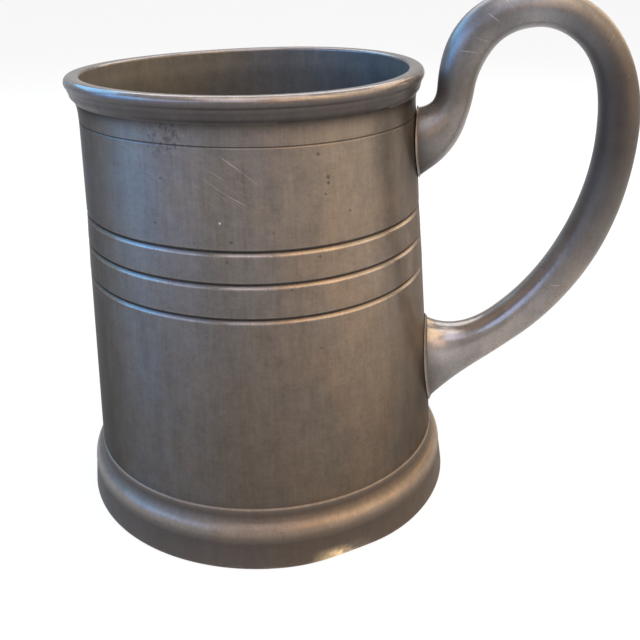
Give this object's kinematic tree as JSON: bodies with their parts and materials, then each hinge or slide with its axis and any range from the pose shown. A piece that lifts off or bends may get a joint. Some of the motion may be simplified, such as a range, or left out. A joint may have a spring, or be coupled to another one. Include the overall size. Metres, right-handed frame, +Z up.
{
  "type": "pewter mug",
  "caption": "Straight-sided pewter mug with turned lines, a moulded skirt foot and a swan-neck handle that rises above the lip.",
  "frame": {"origin": "on the table under the middle of the overall box of body and handle; the body's own axis is 21.8 mm towards -X", "axes": "+Z up out of the mouth, +X from the body towards the handle, +Y to the left of the handle; the mug is alike on both sides of y = 0"},
  "size_m": [0.1478, 0.1042, 0.1322],
  "materials": {
    "pewter": "aged satin pewter, turned, with fine scratches and dark pits",
    "handle_pewter": "pewter worn smooth by the hand, brighter on the bends",
    "solder": "dull soft solder"
  },
  "bodies": {
    "root": {"drum": "pewter", "foot_ring": "pewter", "floor_disc": "pewter", "handle_left_half": "handle_pewter", "handle_right_half": "handle_pewter", "upper_solder_fillet": "solder", "lower_solder_fillet": "solder", "floor_solder_seam": "solder", "foot_solder_seam": "solder"}
  },
  "joints": []
}
